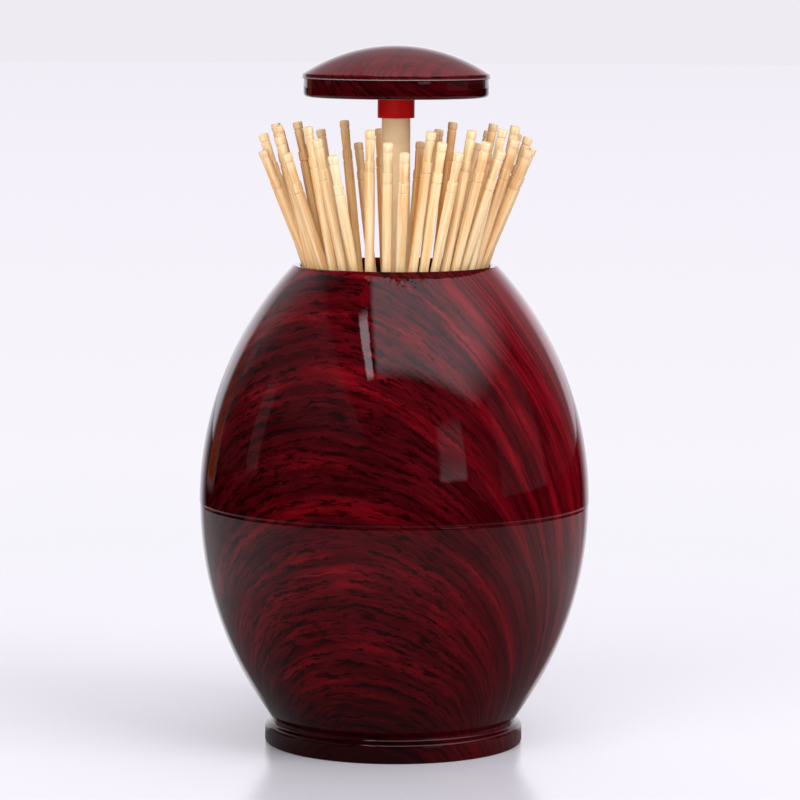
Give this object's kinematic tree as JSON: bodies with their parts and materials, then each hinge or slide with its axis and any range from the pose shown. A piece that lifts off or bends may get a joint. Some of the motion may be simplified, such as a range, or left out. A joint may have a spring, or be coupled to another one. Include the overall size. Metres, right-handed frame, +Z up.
{
  "type": "toothpick dispenser",
  "caption": "Egg-shaped push-to-open toothpick dispenser: pressing the domed lid lowers it and the crown of toothpicks into the wood-grain case; a spring lifts them again.",
  "frame": {"origin": "centre of the foot ring's underside", "axes": "+Z up through the lid, -Y towards the front"},
  "size_m": [0.0848, 0.0848, 0.1517],
  "materials": {
    "rosewood_gloss": "high-gloss lacquer over a dark red wood-grain print",
    "black_plastic": "moulded, satin",
    "red_plastic": "moulded, gloss",
    "cream_plastic": "moulded, slightly translucent",
    "plated_steel": "zinc plated",
    "spring_steel": "drawn wire",
    "bamboo": "turned bamboo, unfinished"
  },
  "bodies": {
    "case": {"upper_shell": "rosewood_gloss", "lower_shell": "rosewood_gloss", "mouth_liner": "black_plastic", "base_plate": "black_plastic", "base_screws": "plated_steel", "guide_post": "plated_steel", "stop_screw": "plated_steel", "return_spring": "spring_steel", "latch_bracket": "black_plastic"},
    "press": {"lid_dome": "rosewood_gloss", "lid_base": "rosewood_gloss", "lid_collar": "red_plastic", "stem_tube": "cream_plastic", "stem_bush": "cream_plastic", "carrier_dish": "black_plastic", "heart_cam": "cream_plastic"},
    "latch": {"latch_wire": "spring_steel"},
    "pick_01": {"toothpick_01": "bamboo"},
    "pick_02": {"toothpick_02": "bamboo"},
    "pick_03": {"toothpick_03": "bamboo"},
    "pick_04": {"toothpick_04": "bamboo"},
    "pick_05": {"toothpick_05": "bamboo"},
    "pick_06": {"toothpick_06": "bamboo"},
    "pick_07": {"toothpick_07": "bamboo"},
    "pick_08": {"toothpick_08": "bamboo"},
    "pick_09": {"toothpick_09": "bamboo"},
    "pick_10": {"toothpick_10": "bamboo"},
    "pick_11": {"toothpick_11": "bamboo"},
    "pick_12": {"toothpick_12": "bamboo"},
    "pick_13": {"toothpick_13": "bamboo"},
    "pick_14": {"toothpick_14": "bamboo"},
    "pick_15": {"toothpick_15": "bamboo"},
    "pick_16": {"toothpick_16": "bamboo"},
    "pick_17": {"toothpick_17": "bamboo"},
    "pick_18": {"toothpick_18": "bamboo"},
    "pick_19": {"toothpick_19": "bamboo"},
    "pick_20": {"toothpick_20": "bamboo"},
    "pick_21": {"toothpick_21": "bamboo"},
    "pick_22": {"toothpick_22": "bamboo"},
    "pick_23": {"toothpick_23": "bamboo"},
    "pick_24": {"toothpick_24": "bamboo"},
    "pick_25": {"toothpick_25": "bamboo"},
    "pick_26": {"toothpick_26": "bamboo"},
    "pick_27": {"toothpick_27": "bamboo"},
    "pick_28": {"toothpick_28": "bamboo"},
    "pick_29": {"toothpick_29": "bamboo"},
    "pick_30": {"toothpick_30": "bamboo"},
    "pick_31": {"toothpick_31": "bamboo"},
    "pick_32": {"toothpick_32": "bamboo"},
    "pick_33": {"toothpick_33": "bamboo"},
    "pick_34": {"toothpick_34": "bamboo"},
    "pick_35": {"toothpick_35": "bamboo"},
    "pick_36": {"toothpick_36": "bamboo"},
    "pick_37": {"toothpick_37": "bamboo"},
    "pick_38": {"toothpick_38": "bamboo"},
    "pick_39": {"toothpick_39": "bamboo"},
    "pick_40": {"toothpick_40": "bamboo"},
    "pick_41": {"toothpick_41": "bamboo"},
    "pick_42": {"toothpick_42": "bamboo"}
  },
  "joints": [
    {"name": "lid_press", "type": "slide", "parent": "case", "child": "press", "axis": [0, 0, 1], "range_m": [-0.042, 0], "stiffness_N_per_m": 60, "springref_m": 0.02, "deforming": ["return_spring"]},
    {"name": "latch_swing", "type": "hinge", "parent": "case", "child": "latch", "pos_m": [0, 0.0122, 0.009], "axis": [0, 1, 0], "range_deg": [0, 14], "stiffness_Nm_per_rad": 0.002, "springref_deg": -2.86},
    {"name": "pick_01_lean", "type": "hinge", "parent": "press", "child": "pick_01", "pos_m": [-0.00551, -0.00975, 0.07144], "axis": [1, 0.0064, 0], "range_deg": [-12.43, 0]},
    {"name": "pick_02_lean", "type": "hinge", "parent": "press", "child": "pick_02", "pos_m": [-0.00203, -0.00784, 0.06992], "axis": [0.9998, 0.0219, 0], "range_deg": [-15.31, 0]},
    {"name": "pick_03_lean", "type": "hinge", "parent": "press", "child": "pick_03", "pos_m": [-0.00009, -0.00477, 0.0696], "axis": [0.9969, 0.0782, 0], "range_deg": [-18.96, 0]},
    {"name": "pick_04_lean", "type": "hinge", "parent": "press", "child": "pick_04", "pos_m": [-0.00047, -0.0111, 0.07128], "axis": [0.8837, 0.4681, 0], "range_deg": [-12.61, 0]},
    {"name": "pick_05_lean", "type": "hinge", "parent": "press", "child": "pick_05", "pos_m": [0.0014, -0.00793, 0.06999], "axis": [0.9107, 0.4131, 0], "range_deg": [-15.25, 0]},
    {"name": "pick_06_lean", "type": "hinge", "parent": "press", "child": "pick_06", "pos_m": [0.00184, -0.00452, 0.06966], "axis": [0.8905, 0.455, 0], "range_deg": [-19.01, 0]},
    {"name": "pick_07_lean", "type": "hinge", "parent": "press", "child": "pick_07", "pos_m": [0.0044, -0.01022, 0.07116], "axis": [0.6817, 0.7316, 0], "range_deg": [-11.95, 0]},
    {"name": "pick_08_lean", "type": "hinge", "parent": "press", "child": "pick_08", "pos_m": [0.00458, -0.00648, 0.07006], "axis": [0.7087, 0.7055, 0], "range_deg": [-15.54, 0]},
    {"name": "pick_09_lean", "type": "hinge", "parent": "press", "child": "pick_09", "pos_m": [0.00353, -0.00337, 0.06966], "axis": [0.651, 0.7591, 0], "range_deg": [-18.76, 0]},
    {"name": "pick_10_lean", "type": "hinge", "parent": "press", "child": "pick_10", "pos_m": [0.00863, -0.0072, 0.0711], "axis": [0.4369, 0.8995, 0], "range_deg": [-11.71, 0]},
    {"name": "pick_11_lean", "type": "hinge", "parent": "press", "child": "pick_11", "pos_m": [0.00687, -0.00391, 0.07017], "axis": [0.4166, 0.9091, 0], "range_deg": [-15.28, 0]},
    {"name": "pick_12_lean", "type": "hinge", "parent": "press", "child": "pick_12", "pos_m": [0.00449, -0.00166, 0.06958], "axis": [0.3241, 0.946, 0], "range_deg": [-19.11, 0]},
    {"name": "pick_13_lean", "type": "hinge", "parent": "press", "child": "pick_13", "pos_m": [0.01094, -0.00283, 0.07104], "axis": [0.1419, 0.9899, 0], "range_deg": [-11.14, 0]},
    {"name": "pick_14_lean", "type": "hinge", "parent": "press", "child": "pick_14", "pos_m": [0.00795, -0.00075, 0.07034], "axis": [0.0591, 0.9982, 0], "range_deg": [-15.51, 0]},
    {"name": "pick_15_lean", "type": "hinge", "parent": "press", "child": "pick_15", "pos_m": [0.0047, 0.00028, 0.06948], "axis": [-0.0672, 0.9977, 0], "range_deg": [-18.9, 0]},
    {"name": "pick_16_lean", "type": "hinge", "parent": "press", "child": "pick_16", "pos_m": [0.01104, 0.00211, 0.07097], "axis": [-0.2203, 0.9754, 0], "range_deg": [-11.43, 0]},
    {"name": "pick_17_lean", "type": "hinge", "parent": "press", "child": "pick_17", "pos_m": [0.00763, 0.00269, 0.0705], "axis": [-0.3415, 0.9399, 0], "range_deg": [-15.23, 0]},
    {"name": "pick_18_lean", "type": "hinge", "parent": "press", "child": "pick_18", "pos_m": [0.0042, 0.0022, 0.06939], "axis": [-0.465, 0.8853, 0], "range_deg": [-18.99, 0]},
    {"name": "pick_19_lean", "type": "hinge", "parent": "press", "child": "pick_19", "pos_m": [0.00906, 0.00647, 0.07091], "axis": [-0.5871, 0.8096, 0], "range_deg": [-11.4, 0]},
    {"name": "pick_20_lean", "type": "hinge", "parent": "press", "child": "pick_20", "pos_m": [0.0058, 0.00562, 0.07061], "axis": [-0.6968, 0.7172, 0], "range_deg": [-15.4, 0]},
    {"name": "pick_21_lean", "type": "hinge", "parent": "press", "child": "pick_21", "pos_m": [0.00295, 0.00385, 0.06931], "axis": [-0.7945, 0.6073, 0], "range_deg": [-18.76, 0]},
    {"name": "pick_22_lean", "type": "hinge", "parent": "press", "child": "pick_22", "pos_m": [0.0053, 0.00976, 0.07093], "axis": [-0.8792, 0.4764, 0], "range_deg": [-11.45, 0]},
    {"name": "pick_23_lean", "type": "hinge", "parent": "press", "child": "pick_23", "pos_m": [0.00266, 0.00751, 0.07067], "axis": [-0.9429, 0.3331, 0], "range_deg": [-15.59, 0]},
    {"name": "pick_24_lean", "type": "hinge", "parent": "press", "child": "pick_24", "pos_m": [0.0009, 0.00481, 0.0692], "axis": [-0.983, 0.1835, 0], "range_deg": [-18.58, 0]},
    {"name": "pick_25_lean", "type": "hinge", "parent": "press", "child": "pick_25", "pos_m": [0.00029, 0.0112, 0.07102], "axis": [-0.9997, 0.0257, 0], "range_deg": [-11.48, 0]},
    {"name": "pick_26_lean", "type": "hinge", "parent": "press", "child": "pick_26", "pos_m": [-0.00103, 0.00783, 0.07071], "axis": [-0.9915, -0.1298, 0], "range_deg": [-15.53, 0]},
    {"name": "pick_27_lean", "type": "hinge", "parent": "press", "child": "pick_27", "pos_m": [-0.00138, 0.00462, 0.06904], "axis": [-0.9582, -0.2862, 0], "range_deg": [-18.78, 0]},
    {"name": "pick_28_lean", "type": "hinge", "parent": "press", "child": "pick_28", "pos_m": [-0.00498, 0.01014, 0.07114], "axis": [-0.898, -0.44, 0], "range_deg": [-11.14, 0]},
    {"name": "pick_29_lean", "type": "hinge", "parent": "press", "child": "pick_29", "pos_m": [-0.00463, 0.00647, 0.07077], "axis": [-0.8137, -0.5813, 0], "range_deg": [-15.75, 0]},
    {"name": "pick_30_lean", "type": "hinge", "parent": "press", "child": "pick_30", "pos_m": [-0.00335, 0.00332, 0.06888], "axis": [-0.7042, -0.71, 0], "range_deg": [-18.57, 0]},
    {"name": "pick_31_lean", "type": "hinge", "parent": "press", "child": "pick_31", "pos_m": [-0.0092, 0.0065, 0.07123], "axis": [-0.58, -0.8146, 0], "range_deg": [-11.53, 0]},
    {"name": "pick_32_lean", "type": "hinge", "parent": "press", "child": "pick_32", "pos_m": [-0.00725, 0.00353, 0.07081], "axis": [-0.4409, -0.8976, 0], "range_deg": [-15.32, 0]},
    {"name": "pick_33_lean", "type": "hinge", "parent": "press", "child": "pick_33", "pos_m": [-0.00452, 0.00135, 0.06877], "axis": [-0.2884, -0.9575, 0], "range_deg": [-18.78, 0]},
    {"name": "pick_34_lean", "type": "hinge", "parent": "press", "child": "pick_34", "pos_m": [-0.01107, 0.0014, 0.07132], "axis": [-0.142, -0.9899, 0], "range_deg": [-11.4, 0]},
    {"name": "pick_35_lean", "type": "hinge", "parent": "press", "child": "pick_35", "pos_m": [-0.00809, -0.0003, 0.07078], "axis": [0.0255, -0.9997, 0], "range_deg": [-15.55, 0]},
    {"name": "pick_36_lean", "type": "hinge", "parent": "press", "child": "pick_36", "pos_m": [-0.00473, -0.00095, 0.06872], "axis": [0.1914, -0.9815, 0], "range_deg": [-18.42, 0]},
    {"name": "pick_37_lean", "type": "hinge", "parent": "press", "child": "pick_37", "pos_m": [-0.01035, -0.00402, 0.07143], "axis": [0.3225, -0.9466, 0], "range_deg": [-11.75, 0]},
    {"name": "pick_38_lean", "type": "hinge", "parent": "press", "child": "pick_38", "pos_m": [-0.00693, -0.00402, 0.07068], "axis": [0.4798, -0.8774, 0], "range_deg": [-15.44, 0]},
    {"name": "pick_39_lean", "type": "hinge", "parent": "press", "child": "pick_39", "pos_m": [-0.00384, -0.00304, 0.06869], "axis": [0.612, -0.7909, 0], "range_deg": [-18.45, 0]},
    {"name": "pick_40_lean", "type": "hinge", "parent": "press", "child": "pick_40", "pos_m": [-0.00746, -0.00831, 0.07159], "axis": [0.6939, -0.72, 0], "range_deg": [-11.62, 0]},
    {"name": "pick_41_lean", "type": "hinge", "parent": "press", "child": "pick_41", "pos_m": [-0.00441, -0.00656, 0.07055], "axis": [0.8092, -0.5875, 0], "range_deg": [-15.56, 0]},
    {"name": "pick_42_lean", "type": "hinge", "parent": "press", "child": "pick_42", "pos_m": [-0.00215, -0.00436, 0.06866], "axis": [0.8906, -0.4548, 0], "range_deg": [-18.47, 0]}
  ],
  "couplings": [
    {"joint": "pick_01_lean", "follows": "lid_press", "rad_per_m": 5.1589},
    {"joint": "pick_02_lean", "follows": "lid_press", "rad_per_m": 6.3547},
    {"joint": "pick_03_lean", "follows": "lid_press", "rad_per_m": 7.8741},
    {"joint": "pick_04_lean", "follows": "lid_press", "rad_per_m": 5.2326},
    {"joint": "pick_05_lean", "follows": "lid_press", "rad_per_m": 6.3294},
    {"joint": "pick_06_lean", "follows": "lid_press", "rad_per_m": 7.8942},
    {"joint": "pick_07_lean", "follows": "lid_press", "rad_per_m": 4.96},
    {"joint": "pick_08_lean", "follows": "lid_press", "rad_per_m": 6.4516},
    {"joint": "pick_09_lean", "follows": "lid_press", "rad_per_m": 7.7877},
    {"joint": "pick_10_lean", "follows": "lid_press", "rad_per_m": 4.8586},
    {"joint": "pick_11_lean", "follows": "lid_press", "rad_per_m": 6.3445},
    {"joint": "pick_12_lean", "follows": "lid_press", "rad_per_m": 7.9339},
    {"joint": "pick_13_lean", "follows": "lid_press", "rad_per_m": 4.6211},
    {"joint": "pick_14_lean", "follows": "lid_press", "rad_per_m": 6.4397},
    {"joint": "pick_15_lean", "follows": "lid_press", "rad_per_m": 7.8478},
    {"joint": "pick_16_lean", "follows": "lid_press", "rad_per_m": 4.7449},
    {"joint": "pick_17_lean", "follows": "lid_press", "rad_per_m": 6.3218},
    {"joint": "pick_18_lean", "follows": "lid_press", "rad_per_m": 7.8837},
    {"joint": "pick_19_lean", "follows": "lid_press", "rad_per_m": 4.7313},
    {"joint": "pick_20_lean", "follows": "lid_press", "rad_per_m": 6.3922},
    {"joint": "pick_21_lean", "follows": "lid_press", "rad_per_m": 7.7893},
    {"joint": "pick_22_lean", "follows": "lid_press", "rad_per_m": 4.7504},
    {"joint": "pick_23_lean", "follows": "lid_press", "rad_per_m": 6.4726},
    {"joint": "pick_24_lean", "follows": "lid_press", "rad_per_m": 7.7144},
    {"joint": "pick_25_lean", "follows": "lid_press", "rad_per_m": 4.763},
    {"joint": "pick_26_lean", "follows": "lid_press", "rad_per_m": 6.4491},
    {"joint": "pick_27_lean", "follows": "lid_press", "rad_per_m": 7.7966},
    {"joint": "pick_28_lean", "follows": "lid_press", "rad_per_m": 4.6239},
    {"joint": "pick_29_lean", "follows": "lid_press", "rad_per_m": 6.5388},
    {"joint": "pick_30_lean", "follows": "lid_press", "rad_per_m": 7.7088},
    {"joint": "pick_31_lean", "follows": "lid_press", "rad_per_m": 4.7835},
    {"joint": "pick_32_lean", "follows": "lid_press", "rad_per_m": 6.3613},
    {"joint": "pick_33_lean", "follows": "lid_press", "rad_per_m": 7.7999},
    {"joint": "pick_34_lean", "follows": "lid_press", "rad_per_m": 4.7305},
    {"joint": "pick_35_lean", "follows": "lid_press", "rad_per_m": 6.4547},
    {"joint": "pick_36_lean", "follows": "lid_press", "rad_per_m": 7.6478},
    {"joint": "pick_37_lean", "follows": "lid_press", "rad_per_m": 4.8782},
    {"joint": "pick_38_lean", "follows": "lid_press", "rad_per_m": 6.4082},
    {"joint": "pick_39_lean", "follows": "lid_press", "rad_per_m": 7.6587},
    {"joint": "pick_40_lean", "follows": "lid_press", "rad_per_m": 4.8208},
    {"joint": "pick_41_lean", "follows": "lid_press", "rad_per_m": 6.4603},
    {"joint": "pick_42_lean", "follows": "lid_press", "rad_per_m": 7.6694}
  ]
}
